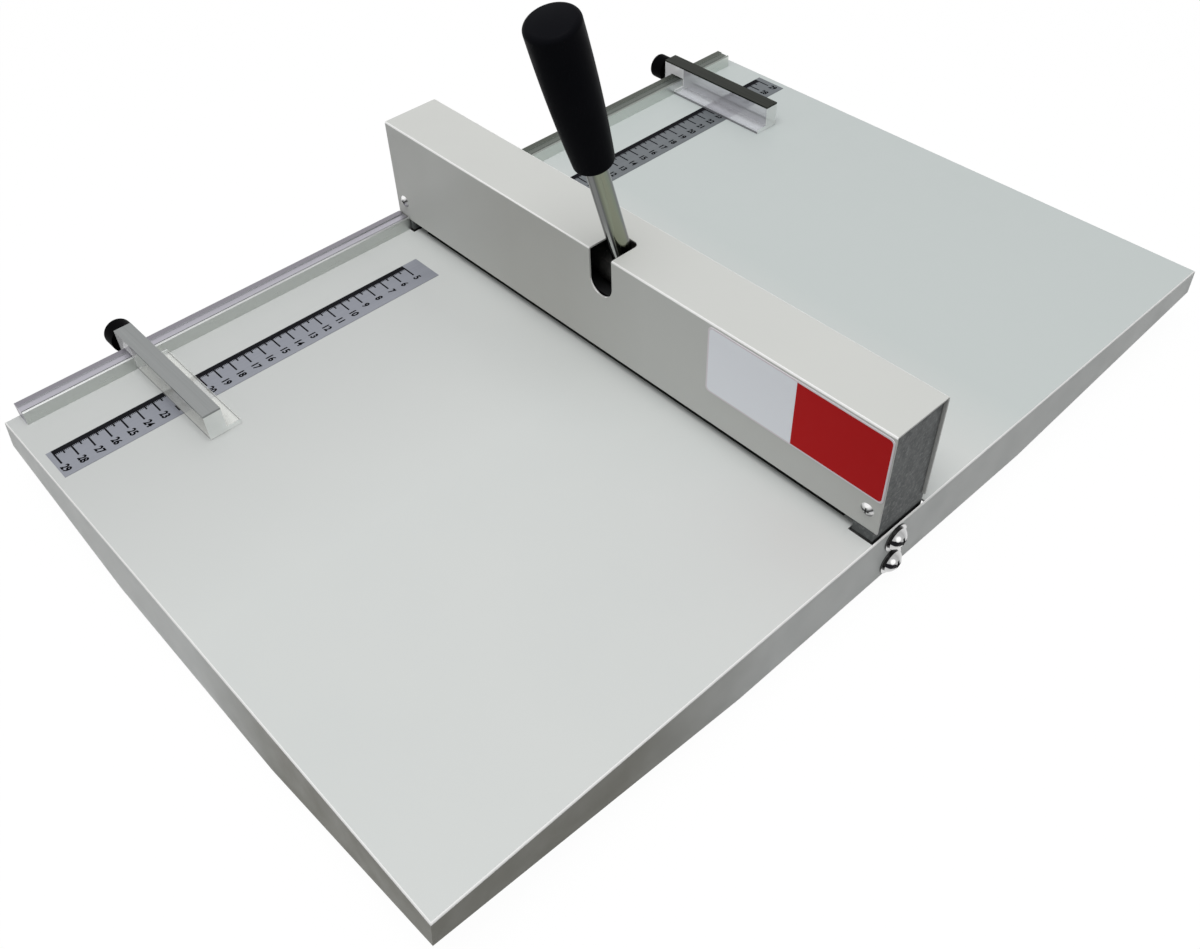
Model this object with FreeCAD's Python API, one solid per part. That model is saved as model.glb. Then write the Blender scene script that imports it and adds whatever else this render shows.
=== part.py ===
import FreeCAD, Part
import math
import os

# Desktop paper creasing machine, in millimetres.
# X runs along the creasing bar, Y along the paper's way through, Z up from the surface it stands on.
# The operator stands on the -Y side, and the rails with the side guides lie along the -X edge.

V = FreeCAD.Vector

# Table tray: one folded sheet with a skirt all round, deeper at the middle of each side
table_width = 400.0
table_length = 600.0
sheet = 1.5
fold_radius = 1.2
skirt_corner_depth = 17.5
skirt_middle_depth = 35.0
side_deep_half_length = 118.0
end_deep_half_length = 75.0
end_lean_deg = 6.0

# Feet and the two channels that carry them
foot_height = 24.0
foot_bottom_radius = 14.0
foot_top_radius = 16.0
foot_pocket_radius = 7.0
foot_pocket_depth = 10.0
foot_inset_x = 50.0
foot_inset_y = 70.0
channel_height = 16.0
channel_width = 30.0
channel_flange = 9.0
channel_end_inset = 25.0
foot_screw_radius = 2.5
foot_screw_head_radius = 4.75
foot_screw_head_height = 3.2
foot_washer_radius = 6.5
foot_washer_thickness = 1.0
foot_nut_flats = 8.0
foot_nut_height = 4.0
foot_screw_tail = 1.5

# End blocks, which carry the cover, the camshaft and the lower beam
block_thickness = 13.6
block_base_half_width = 20.5
block_depth = 34.0
block_cover_gap = 0.4
block_table_gap = 1.3
block_step = 0.6
block_step_depth = 3.0
notch_lip = 0.9
fit_gap = 0.2

# Lower beam under the crease line, and the grooved matrix strip let into it
lower_beam_half_width = 20.0
tongue_half_width = 16.2
tongue_end_wall = 7.5
matrix_half_width = 4.0
matrix_depth = 3.0
matrix_spring_gap = 1.5
crease_groove_width = 2.0
crease_groove_depth = 1.2

# Cover: an inverted channel, open at both ends, with a slot for the lever
cover_half_width = 20.2
cover_height = 74.4
cover_lower_edge = 6.8
cover_sheet = 1.0
cover_fold_radius = 0.2
cover_end_gap = 0.5
cover_corner_cut = 1.2
lever_slot_width = 17.8
lever_slot_drop = 28.1
lever_slot_back = 1.6
lever_slot_corner_radius = 4.0

# Cover screws
cover_screw_radius = 2.0
cover_screw_head_radius = 4.0
cover_screw_head_height = 1.6
cover_screw_length = 9.0
cover_screw_z = 19.5

# Side bolts with washers, through the skirt and the end block into the lower beam
side_bolt_radius = 4.0
side_bolt_y = -2.3
side_bolt_head_radius = 6.8
side_bolt_head_height = 3.8
side_bolt_beam_length = 10.0
side_bolt_upper_drop = 8.7
side_bolt_spacing = 18.1
side_washer_radius = 8.3
side_washer_thickness = 0.9
lock_washer_radius = 6.4
lock_washer_thickness = 1.1
lock_washer_split = 1.0

# Cross recess of the pan heads
recess_depth_share = 0.45
recess_span_share = 0.95
recess_slot_share = 0.22

# Camshaft with its two eccentric lobes, and the bushes it turns in
shaft_drop = 20.8
shaft_radius = 9.0
journal_radius = 8.0
journal_length = 11.0
hub_radius = 10.5
hub_half_length = 12.0
hub_flat_radius = 8.4
lobe_radius = 13.5
lobe_half_length = 12.5
lobe_inset = 64.5
blade_stroke = 4.8
lever_swing_deg = 70.0
bush_wall = 2.0
bush_flange_radius = 12.0
bush_flange_thickness = 1.5
bush_length = 10.4
bush_end_space = 1.0
running_clearance = 0.05
shaft_end_play = 0.3

# Lever: a round rod in the camshaft's hub, with a tapered grip
lever_rest_deg = 15.6
rod_radius = 6.1
spigot_radius = 3.75
spigot_reach = 7.0
lock_pin_radius = 1.5
grip_start = 82.0
grip_length = 85.2
grip_low_radius = 11.2
grip_middle_radius = 13.6
grip_top_radius = 14.3
grip_edge_radius = 3.0
grip_low_edge_radius = 1.2
grip_dome = 0.8
rod_in_grip = 62.0

# Upper beam, the creasing blade in its slot and the screws that clamp it
upper_beam_half_width = 14.0
upper_beam_underside = 16.0
upper_beam_end_gap = 2.0
cam_clearance = 0.1
blade_thickness = 1.2
blade_slot_depth = 9.0
blade_tip_height = 4.4
blade_end_gap = 0.6
blade_screw_radius = 2.5
blade_screw_length = 8.0
blade_screw_count = 5
blade_screw_end = 21.0
blade_screw_rise = 5.0
hex_key_across = 2.5
hex_key_depth = 2.5

# Guide pins and return springs between the lower and the upper beam
pin_radius = 4.0
pin_inset = 16.0
pin_depth = 20.0
pin_end_space = 6.0
pin_bore_roof = 3.4
spring_wire_radius = 0.7
spring_mean_radius = 5.3
spring_turns = 6

# Rails along the -X edge of both tables
rail_width = 12.0
rail_height = 9.0
rail_land_width = 4.6
rail_recess_depth = 0.6
rail_groove_start = 9.6
rail_groove_width = 1.3
rail_groove_depth = 2.5
rail_edge_radius = 0.6
rail_end_inset = 9.0
rail_block_gap = 0.5
rail_screw_radius = 1.5
rail_screw_depth = 5.0
rail_screw_head_radius = 3.0
rail_screw_head_height = 2.0
rail_screw_count = 3

# Rulers on both tables
ruler_offset_x = 41.8
ruler_width = 24.5
ruler_thickness = 0.3
ruler_start = 39.5
ruler_end_inset = 5.5

# Side guides that slide on the rails
front_guide_inset = 82.8
rear_guide_inset = 55.4
guide_reach = 97.0
guide_overhang = 6.6
guide_wall_width = 11.0
guide_toe_width = 9.0
guide_toe_thickness = 3.0
guide_strip_thickness = 1.2
guide_height = 18.0
guide_cheek_bottom = 3.4
guide_clearance = 0.3
ruler_clearance = 0.2

# Thumb screws that lock the guides
thumb_screw_z = 7.2
thumb_screw_radius = 1.5
thumb_tip_gap = 0.1
knob_radius = 8.75
knob_thickness = 11.0
knob_edge_radius = 1.5
knob_boss_radius = 4.5
knob_boss_length = 2.3
knob_boss_gap = 0.2
knob_screw_depth = 6.0

# Label plate on the front of the cover
label_end_inset = 0.3
label_length = 117.8
label_bottom = 28.7
label_top_inset = 2.2
label_thickness = 0.3
label_corner_radius = 2.8

# One overrun serves all cuts
overrun = 1.0

# Values worked out from the sizes above
knob_reach = guide_overhang + knob_boss_gap + knob_boss_length + knob_thickness
washer_stack = side_washer_thickness + lock_washer_thickness
bolt_reach = washer_stack + side_bolt_head_height
middle_x = (knob_reach - bolt_reach) / 2
left = middle_x - table_width / 2
right = middle_x + table_width / 2
half_length = table_length / 2
table_z = foot_height + channel_height + sheet
under_z = table_z - sheet
lean = math.radians(end_lean_deg)
block_outer = table_width / 2 - sheet
block_inner = block_outer - block_thickness
block_face = block_outer - block_step
block_middle = (block_face + block_inner) / 2
channel_half_length = table_width / 2 - channel_end_inset
pin_offset_x = block_inner - pin_inset
tongue_half_length = pin_offset_x + tongue_end_wall
matrix_half_length = pin_offset_x - spring_mean_radius - spring_wire_radius - matrix_spring_gap
blade_half_length = matrix_half_length - blade_end_gap
lobe_offset_x = block_inner - lobe_inset
blade_screw_pitch = 2 * (matrix_half_length - blade_screw_end) / (blade_screw_count - 1)
ruler_length = half_length - ruler_start - ruler_end_inset
label_height = cover_height - label_bottom - label_top_inset
label_start = table_width / 2 - cover_end_gap - label_end_inset - label_length
front_guide_y = half_length - front_guide_inset
rear_guide_y = half_length - rear_guide_inset
cover_inside = cover_half_width - cover_sheet
block_upper_half_width = cover_inside - block_cover_gap
block_top = cover_height - cover_sheet - block_cover_gap
shaft_height = cover_height - shaft_drop
shaft_z = table_z + shaft_height
cam_half_swing = math.radians(lever_swing_deg) / 2
cam_eccentricity = blade_stroke / (2 * math.sin(cam_half_swing))
cam_rest_angle = math.pi / 2 + cam_half_swing
upper_beam_top = shaft_height - lobe_radius - cam_eccentricity * math.cos(cam_rest_angle) - cam_clearance
upper_beam_half_length = block_inner - upper_beam_end_gap
pin_bore_top = upper_beam_top - pin_bore_roof
pin_height = pin_bore_top - pin_end_space
guide_body_top = guide_height - guide_strip_thickness
guide_base_z = ruler_thickness + ruler_clearance


def box(x0, x1, y0, y1, z0, z1):
    return Part.makeBox(x1 - x0, y1 - y0, z1 - z0, V(x0, y0, z0))


def round_x(radius, x0, x1, y, z):
    return Part.makeCylinder(radius, x1 - x0, V(x0, y, z), V(1, 0, 0))


def round_y(radius, x, y0, y1, z):
    return Part.makeCylinder(radius, y1 - y0, V(x, y0, z), V(0, 1, 0))


def round_z(radius, x, y, z0, z1):
    return Part.makeCylinder(radius, z1 - z0, V(x, y, z0), V(0, 0, 1))


def prism(points, along):
    return Part.Face(Part.makePolygon(points + points[:1])).extrude(along)


def hexagon(across_flats, z):
    corner = across_flats / math.sqrt(3)
    turns = [math.radians(60 * i) for i in range(6)]
    return [V(corner * math.cos(t), corner * math.sin(t), z) for t in turns]


def other_side(shape):
    """The same shape on the far side of the table's middle, along X."""
    return shape.mirror(V(middle_x, 0, 0), V(1, 0, 0))


def front_to_rear(shape):
    """The same shape mirrored from the front table to the rear one."""
    return shape.mirror(V(0, 0, 0), V(0, 1, 0))


def save(name, *shapes):
    shape = shapes[0] if len(shapes) == 1 else Part.makeCompound(list(shapes))
    shape.exportStep(os.path.join("parts", name + ".step"))


def edges_where(shape, test):
    return [edge for edge in shape.Edges if test(edge)]


def pan_head(radius, height):
    """A domed head that stands on Z = 0, with a cross recess in its top."""
    sphere_radius = (radius * radius + height * height) / (2 * height)
    ball = Part.makeSphere(sphere_radius, V(0, 0, height - sphere_radius))
    head = ball.common(Part.makeCylinder(radius, height))
    half_span = radius * recess_span_share / 2
    half_slot = radius * recess_slot_share / 2
    floor = height * (1 - recess_depth_share)
    head = head.cut(box(-half_span, half_span, -half_slot, half_slot, floor, height + overrun))
    return head.cut(box(-half_slot, half_slot, -half_span, half_span, floor, height + overrun))


def screw(radius, length, head_radius, head_height):
    """A pan head screw: its head stands on Z = 0 and its shank hangs below."""
    shank = Part.makeCylinder(radius, length, V(0, 0, -length))
    return pan_head(head_radius, head_height).fuse(shank).removeSplitter()


def placed(shape, position, direction):
    """Turns a shape from +Z to the direction and moves it to the position."""
    turned = shape.copy()
    turn = FreeCAD.Rotation(V(0, 0, 1), direction)
    turned.Placement = FreeCAD.Placement(position, turn).multiply(turned.Placement)
    return turned


def side_skirt():
    """The skirt of the +X side. Its ends follow the lean of the end flanges."""
    corner = half_length + skirt_corner_depth * math.tan(lean)
    outline = [
        V(right, -half_length, table_z),
        V(right, half_length, table_z),
        V(right, corner, table_z - skirt_corner_depth),
        V(right, side_deep_half_length, table_z - skirt_middle_depth),
        V(right, -side_deep_half_length, table_z - skirt_middle_depth),
        V(right, -corner, table_z - skirt_corner_depth),
    ]
    return prism(outline, V(-sheet, 0, 0))


def end_flange():
    """The rear end flange, folded a little less than square, so that it leans out."""

    def point(x, depth):
        return V(x, half_length + depth * math.tan(lean), table_z - depth)

    outline = [
        point(left, 0),
        point(right, 0),
        point(right, skirt_corner_depth),
        point(middle_x + end_deep_half_length, skirt_middle_depth),
        point(middle_x - end_deep_half_length, skirt_middle_depth),
        point(left, skirt_corner_depth),
    ]
    return prism(outline, V(0, -sheet / math.cos(lean), 0))


def side_bolt_heights():
    upper = table_z - side_bolt_upper_drop
    return [upper, upper - side_bolt_spacing]


def rail_screw_places():
    """Middle of the rail in X, and each screw's distance from the crease line in Y."""
    start = block_base_half_width + rail_block_gap
    length = half_length - rail_end_inset - start
    step = length / rail_screw_count
    return [(left + rail_width / 2, start + step * (i + 1 / 2)) for i in range(rail_screw_count)]


def make_tray():
    tray = box(left, right, -half_length, half_length, under_z, table_z)
    skirt = side_skirt()
    flange = end_flange()
    tray = tray.fuse([skirt, other_side(skirt), flange, front_to_rear(flange)]).removeSplitter()
    near = overrun / 100

    def is_fold(edge):
        box_of = edge.BoundBox
        on_top = abs(box_of.ZMin - table_z) < near and abs(box_of.ZMax - table_z) < near
        on_side = abs(abs(box_of.Center.x - middle_x) - table_width / 2) < near
        on_end = abs(abs(box_of.Center.y) - half_length) < near
        return on_top and (on_side or on_end)

    tray = tray.makeFillet(fold_radius, edges_where(tray, is_fold))
    notch = box(
        middle_x + block_inner - block_table_gap,
        right - notch_lip,
        -block_base_half_width - block_table_gap,
        block_base_half_width + block_table_gap,
        under_z - overrun,
        table_z + overrun,
    )
    window = box(
        middle_x - tongue_half_length - fit_gap,
        middle_x + tongue_half_length + fit_gap,
        -tongue_half_width - fit_gap,
        tongue_half_width + fit_gap,
        under_z - overrun,
        table_z + overrun,
    )
    holes = [notch, other_side(notch), window]
    for z in side_bolt_heights():
        hole = round_x(side_bolt_radius + fit_gap, right - sheet - overrun, right + overrun, side_bolt_y, z)
        holes += [hole, other_side(hole)]
    for x, y in rail_screw_places():
        hole = round_z(rail_screw_radius + fit_gap, x, y, under_z - overrun, table_z + overrun)
        holes += [hole, front_to_rear(hole)]
    save("table_tray", tray.cut(holes))


def make_foot_channels():
    low = under_z - channel_height
    middle_y = half_length - foot_inset_y
    half = channel_width / 2
    x0 = middle_x - channel_half_length
    x1 = middle_x + channel_half_length
    outside = box(x0, x1, middle_y - half, middle_y + half, low, under_z)
    inside = box(
        x0 - overrun,
        x1 + overrun,
        middle_y - half + sheet,
        middle_y + half - sheet,
        low + sheet,
        under_z + overrun,
    )
    wing = half + channel_flange
    wings = box(x0, x1, middle_y - wing, middle_y + wing, under_z - sheet, under_z)
    channel = outside.fuse(wings).removeSplitter().cut(inside)
    foot_x = middle_x + table_width / 2 - foot_inset_x
    hole = round_z(foot_screw_radius + fit_gap, foot_x, middle_y, low - overrun, low + sheet + overrun)
    channel = channel.cut([hole, other_side(hole)])
    save("rear_foot_channel", channel)
    save("front_foot_channel", front_to_rear(channel))


def make_feet():
    middle_y = half_length - foot_inset_y
    seat = foot_pocket_depth
    nut_z = foot_height + sheet
    washer_z = seat - foot_washer_thickness
    length = nut_z + foot_nut_height + foot_screw_tail - washer_z
    foot = Part.makeCone(foot_bottom_radius, foot_top_radius, foot_height)
    pocket = Part.makeCylinder(foot_pocket_radius, seat + overrun, V(0, 0, -overrun))
    hole = Part.makeCylinder(foot_screw_radius + fit_gap, foot_height + overrun)
    foot = foot.cut([pocket, hole])
    washer = Part.makeCylinder(foot_washer_radius, foot_washer_thickness, V(0, 0, washer_z))
    washer = washer.cut(hole)
    head = screw(foot_screw_radius, length, foot_screw_head_radius, foot_screw_head_height)
    head = placed(head, V(0, 0, washer_z), V(0, 0, -1))
    nut = prism(hexagon(foot_nut_flats, nut_z), V(0, 0, foot_nut_height))
    nut = nut.cut(Part.makeCylinder(foot_screw_radius, table_z))
    groups = {"rubber_feet": foot, "foot_washers": washer, "foot_screws": head, "foot_nuts": nut}
    foot_x = table_width / 2 - foot_inset_x
    for name, piece in groups.items():
        copies = []
        for sx in (-1, 1):
            for sy in (-1, 1):
                copies.append(placed(piece, V(middle_x + sx * foot_x, sy * middle_y, 0), V(0, 0, 1)))
        save(name, *copies)


def make_end_blocks():
    x0 = middle_x + block_inner
    x1 = middle_x + block_outer
    shoulder = table_z + cover_lower_edge
    base = block_base_half_width
    upper = block_upper_half_width
    face = middle_x + block_face
    step = table_z - block_step_depth
    block = box(x0, x1, -base, base, table_z - block_depth, step)
    block = block.fuse(box(x0, face, -base, base, step, shoulder))
    block = block.fuse(box(x0, face, -upper, upper, shoulder, table_z + block_top)).removeSplitter()
    bore_depth = bush_length + bush_end_space
    cuts = [round_x(journal_radius + bush_wall, x0 - overrun, x0 + bore_depth, 0, shaft_z)]
    for z in side_bolt_heights():
        cuts.append(round_x(side_bolt_radius + fit_gap, x0 - overrun, x1 + overrun, side_bolt_y, z))
    screw_depth = cover_screw_length - cover_sheet
    screw_z = table_z + cover_screw_z
    screw_x = middle_x + block_middle
    cuts.append(round_y(cover_screw_radius, screw_x, -upper - overrun, -cover_inside + screw_depth, screw_z))
    cuts.append(round_y(cover_screw_radius, screw_x, cover_inside - screw_depth, upper + overrun, screw_z))
    block = block.cut(cuts)
    save("open_side_end_block", block)
    save("rail_side_end_block", other_side(block))


def make_bushes():
    x0 = middle_x + block_inner
    bush = round_x(journal_radius + bush_wall, x0, x0 + bush_length, 0, shaft_z)
    bush = bush.fuse(round_x(bush_flange_radius, x0 - bush_flange_thickness, x0, 0, shaft_z))
    bore = round_x(
        journal_radius + running_clearance,
        x0 - bush_flange_thickness - overrun,
        x0 + bush_length + overrun,
        0,
        shaft_z,
    )
    bush = bush.cut(bore).removeSplitter()
    save("open_side_bush", bush)
    save("rail_side_bush", other_side(bush))


def make_lower_beam():
    half = lower_beam_half_width
    x0 = middle_x - block_inner
    x1 = middle_x + block_inner
    tongue_x = tongue_half_length
    tongue_y = tongue_half_width
    beam = box(x0, x1, -half, half, table_z - block_depth, under_z)
    beam = beam.fuse(box(middle_x - tongue_x, middle_x + tongue_x, -tongue_y, tongue_y, under_z, table_z))
    seat = box(
        middle_x - matrix_half_length,
        middle_x + matrix_half_length,
        -matrix_half_width,
        matrix_half_width,
        table_z - matrix_depth,
        table_z + overrun,
    )
    cuts = [seat]
    pin_hole = round_z(pin_radius, middle_x + pin_offset_x, 0, table_z - pin_depth, table_z + overrun)
    cuts += [pin_hole, other_side(pin_hole)]
    for z in side_bolt_heights():
        hole = round_x(side_bolt_radius, x1 - side_bolt_beam_length, x1 + overrun, side_bolt_y, z)
        cuts += [hole, other_side(hole)]
    save("lower_beam", beam.cut(cuts).removeSplitter())


def make_crease_matrix():
    x0 = middle_x - matrix_half_length
    x1 = middle_x + matrix_half_length
    strip = box(x0, x1, -matrix_half_width, matrix_half_width, table_z - matrix_depth, table_z)
    half = crease_groove_width / 2
    groove = box(
        x0 - overrun, x1 + overrun, -half, half, table_z - crease_groove_depth, table_z + overrun
    )
    save("crease_matrix", strip.cut(groove))


def make_side_bolts():
    length = washer_stack + sheet + block_thickness + side_bolt_beam_length
    bolt = screw(side_bolt_radius, length, side_bolt_head_radius, side_bolt_head_height)
    y = side_bolt_y
    split = lock_washer_split / 2
    groups = {"side_bolts": [], "side_washers": [], "side_lock_washers": []}
    for z in side_bolt_heights():
        hole = round_x(side_bolt_radius + fit_gap, right - overrun, right + bolt_reach, y, z)
        ring = round_x(side_washer_radius, right, right + side_washer_thickness, y, z)
        lock_ring = round_x(lock_washer_radius, right + side_washer_thickness, right + washer_stack, y, z)
        slit = box(right, right + bolt_reach, y - lock_washer_radius, y, z - split, z + split)
        pieces = {
            "side_bolts": placed(bolt, V(right + washer_stack, y, z), V(1, 0, 0)),
            "side_washers": ring.cut(hole),
            "side_lock_washers": lock_ring.cut([hole, slit]),
        }
        for name, piece in pieces.items():
            groups[name] += [piece, other_side(piece)]
    for name, pieces in groups.items():
        save(name, *pieces)


def lever_slot():
    """What the lever's slot takes out of the cover: its front and part of its top."""
    half = lever_slot_width / 2
    top = table_z + cover_height + overrun
    front = -cover_half_width - overrun
    inner = -cover_inside + overrun
    low = table_z + cover_height - lever_slot_drop + half
    opening = box(middle_x - half, middle_x + half, front, inner, low, top)
    opening = opening.fuse(round_y(half, middle_x, front, inner, low))
    roof = box(
        middle_x - half,
        middle_x + half,
        front,
        lever_slot_back,
        table_z + cover_height - cover_sheet - overrun,
        top,
    )

    def is_back_corner(edge):
        centre = edge.BoundBox.Center
        upright = edge.BoundBox.ZLength > cover_sheet
        return upright and abs(centre.y - lever_slot_back) < overrun / 100

    roof = roof.makeFillet(lever_slot_corner_radius, edges_where(roof, is_back_corner))
    return opening.fuse(roof)


def make_cover():
    x0 = left + cover_end_gap
    x1 = right - cover_end_gap
    low = table_z + cover_lower_edge
    top = table_z + cover_height
    shell = box(x0, x1, -cover_half_width, cover_half_width, low, top)

    def is_fold(edge):
        span = edge.BoundBox
        return span.XLength > span.YLength and span.ZMin > low

    shell = shell.makeFillet(cover_fold_radius + cover_sheet, edges_where(shell, is_fold))
    inside = box(x0 - overrun, x1 + overrun, -cover_inside, cover_inside, low - overrun, top - cover_sheet)
    inside = inside.makeFillet(cover_fold_radius, edges_where(inside, is_fold))
    shell = shell.cut([inside, lever_slot()])
    corner = prism(
        [
            V(x0 - overrun, -cover_half_width - overrun, low - overrun),
            V(x0 + cover_corner_cut, -cover_half_width - overrun, low - overrun),
            V(x0 + cover_corner_cut, -cover_half_width - overrun, low),
            V(x0, -cover_half_width - overrun, low + cover_corner_cut),
            V(x0 - overrun, -cover_half_width - overrun, low + cover_corner_cut),
        ],
        V(0, cover_half_width, 0),
    )
    screw_z = table_z + cover_screw_z
    cuts = [corner]
    for x in (middle_x - block_middle, middle_x + block_middle):
        hole_radius = cover_screw_radius + fit_gap
        cuts.append(round_y(hole_radius, x, -cover_half_width - overrun, cover_half_width + overrun, screw_z))
    save("cover", shell.cut(cuts))


def make_cover_screws():
    one = screw(cover_screw_radius, cover_screw_length, cover_screw_head_radius, cover_screw_head_height)
    z = table_z + cover_screw_z
    screws = []
    for x in (middle_x - block_middle, middle_x + block_middle):
        screws.append(placed(one, V(x, -cover_half_width, z), V(0, -1, 0)))
        screws.append(placed(one, V(x, cover_half_width, z), V(0, 1, 0)))
    save("cover_screws", *screws)


def make_label():
    x0 = middle_x + label_start
    z0 = table_z + label_bottom
    front = -cover_half_width
    plate = box(x0, x0 + label_length, front - label_thickness, front, z0, z0 + label_height)

    def is_corner(edge):
        span = edge.BoundBox
        return span.YLength > span.XLength + span.ZLength

    save("label_plate", plate.makeFillet(label_corner_radius, edges_where(plate, is_corner)))


def at_lever_rest(shape):
    """Leans a shape, built upright on the shaft's axis, to the lever's rest position."""
    leaned = shape.copy()
    turn = FreeCAD.Rotation(V(1, 0, 0), lever_rest_deg)
    leaned.Placement = FreeCAD.Placement(V(middle_x, 0, shaft_z), turn).multiply(leaned.Placement)
    return leaned


def make_camshaft():
    shoulder = block_inner - bush_flange_thickness - shaft_end_play
    shaft = round_x(shaft_radius, middle_x - shoulder, middle_x + shoulder, 0, shaft_z)
    journal_end = block_inner + bush_length - bush_end_space / 2
    journal_start = journal_end - journal_length - bush_flange_thickness
    journal = round_x(journal_radius, middle_x + journal_start, middle_x + journal_end, 0, shaft_z)
    hub = round_x(hub_radius, middle_x - hub_half_length, middle_x + hub_half_length, 0, shaft_z)
    lobe_y = -cam_eccentricity * math.sin(cam_rest_angle)
    lobe_z = shaft_z - cam_eccentricity * math.cos(cam_rest_angle)
    lobe_x = middle_x + lobe_offset_x
    lobe = round_x(lobe_radius, lobe_x - lobe_half_length, lobe_x + lobe_half_length, lobe_y, lobe_z)
    shaft = shaft.fuse([journal, other_side(journal), hub, lobe, other_side(lobe)]).removeSplitter()
    flat = box(
        -hub_half_length - overrun,
        hub_half_length + overrun,
        -hub_radius,
        hub_radius,
        hub_flat_radius,
        hub_radius + overrun,
    )
    socket = Part.makeCylinder(spigot_radius, spigot_reach + hub_radius, V(0, 0, -spigot_reach))
    pin = Part.makeCylinder(lock_pin_radius, 2 * hub_radius + overrun, V(0, -hub_radius, 0), V(0, 1, 0))
    shaft = shaft.cut([at_lever_rest(flat), at_lever_rest(socket), at_lever_rest(pin)])
    save("camshaft", shaft)


def make_lever():
    rod_end = grip_start + rod_in_grip
    rod = Part.makeCylinder(rod_radius, rod_end - hub_flat_radius, V(0, 0, hub_flat_radius))
    spigot = Part.makeCylinder(spigot_radius, hub_flat_radius + spigot_reach, V(0, 0, -spigot_reach))
    pin_half = hub_radius - lock_pin_radius
    pin = Part.makeCylinder(lock_pin_radius, 2 * pin_half, V(0, -pin_half, 0), V(0, 1, 0))
    rod = rod.fuse(spigot).removeSplitter().cut(pin)
    save("lever_rod", at_lever_rest(rod))
    save("rod_lock_pin", at_lever_rest(pin))
    top = grip_start + grip_length
    shoulder = top - grip_edge_radius
    low = grip_start + grip_low_edge_radius
    middle = (low + shoulder) / 2
    cos45 = math.cos(math.pi / 4)
    rim = grip_top_radius - grip_edge_radius
    foot = grip_low_radius - grip_low_edge_radius
    dome_radius = (rim * rim + grip_dome * grip_dome) / (2 * grip_dome)
    half_angle = math.asin(rim / dome_radius) / 2
    dome_x = dome_radius * math.sin(half_angle)
    dome_z = top + grip_dome - dome_radius * (1 - math.cos(half_angle))
    edges = [
        Part.LineSegment(V(0, 0, grip_start), V(foot, 0, grip_start)).toShape(),
        Part.Arc(
            V(foot, 0, grip_start),
            V(foot + grip_low_edge_radius * cos45, 0, low - grip_low_edge_radius * cos45),
            V(grip_low_radius, 0, low),
        ).toShape(),
        Part.Arc(
            V(grip_low_radius, 0, low), V(grip_middle_radius, 0, middle), V(grip_top_radius, 0, shoulder)
        ).toShape(),
        Part.Arc(
            V(grip_top_radius, 0, shoulder),
            V(rim + grip_edge_radius * cos45, 0, shoulder + grip_edge_radius * cos45),
            V(rim, 0, top),
        ).toShape(),
        Part.Arc(V(rim, 0, top), V(dome_x, 0, dome_z), V(0, 0, top + grip_dome)).toShape(),
        Part.LineSegment(V(0, 0, top + grip_dome), V(0, 0, grip_start)).toShape(),
    ]
    grip = Part.Face(Part.Wire(edges)).revolve(V(0, 0, 0), V(0, 0, 1), 360)
    grip = grip.cut(Part.makeCylinder(rod_radius, rod_end, V(0, 0, 0)))
    save("lever_grip", at_lever_rest(grip))


def blade_screw_places():
    first = middle_x - blade_screw_pitch * (blade_screw_count - 1) / 2
    return [first + blade_screw_pitch * i for i in range(blade_screw_count)]


def make_upper_beam():
    low = table_z + upper_beam_underside
    half = upper_beam_half_width
    half_x = upper_beam_half_length
    beam = box(middle_x - half_x, middle_x + half_x, -half, half, low, table_z + upper_beam_top)
    slot = box(
        middle_x - blade_half_length,
        middle_x + blade_half_length,
        -blade_thickness / 2,
        blade_thickness / 2,
        low - overrun,
        low + blade_slot_depth,
    )
    bore = round_z(
        pin_radius + running_clearance,
        middle_x + pin_offset_x,
        0,
        low - overrun,
        table_z + pin_bore_top,
    )
    cuts = [slot, bore, other_side(bore)]
    screw_z = low + blade_screw_rise
    for x in blade_screw_places():
        cuts.append(round_y(blade_screw_radius, x, -half - overrun, -blade_thickness / 2, screw_z))
    save("upper_beam", beam.cut(cuts))


def make_blade():
    top = table_z + upper_beam_underside + blade_slot_depth
    tip = table_z + blade_tip_height
    half = blade_thickness / 2
    x0 = middle_x - blade_half_length
    x1 = middle_x + blade_half_length
    blade = box(x0, x1, -half, half, tip + half, top)
    edge = round_x(half, x0, x1, 0, tip + half)
    save("creasing_blade", blade.fuse(edge).removeSplitter())


def make_blade_screws():
    key = prism(hexagon(hex_key_across, 0), V(0, 0, -hex_key_depth))
    one = Part.makeCylinder(blade_screw_radius, blade_screw_length, V(0, 0, -blade_screw_length))
    one = one.cut(key)
    z = table_z + upper_beam_underside + blade_screw_rise
    y = -blade_thickness / 2 - blade_screw_length
    save("blade_screws", *[placed(one, V(x, y, z), V(0, -1, 0)) for x in blade_screw_places()])


def make_guide_pins():
    pin = round_z(pin_radius, middle_x + pin_offset_x, 0, table_z - pin_depth, table_z + pin_height)
    save("guide_pins", pin, other_side(pin))


def biarc(start, start_way, end, end_way):
    """Two arcs that leave the start and reach the end in the given directions."""
    chord = end - start
    ways = start_way + end_way
    turn = 2 * (1 - start_way.dot(end_way))
    along = chord.dot(ways)
    reach = (math.sqrt(along * along + turn * chord.dot(chord)) - along) / turn
    first_corner = start + start_way * reach
    second_corner = end - end_way * reach
    joint = (first_corner + second_corner) * 0.5
    arcs = []
    for one, corner, two in ((start, first_corner, joint), (joint, second_corner, end)):
        middle = (one + two) * 0.5
        half_chord = (two - one).Length / 2
        rise = (corner - middle).Length
        sagitta = half_chord * rise / (reach + half_chord)
        arcs.append(Part.Arc(one, middle + (corner - middle) * (sagitta / rise), two).toShape())
    return arcs


def least_gap(points, per_turn):
    """Least gap between the turns of the wire, measured on points of its path."""
    gaps = []
    for i, point in enumerate(points):
        gaps += [(point - other).Length for other in points[i + per_turn // 2:]]
    return min(gaps) - 2 * spring_wire_radius


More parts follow.
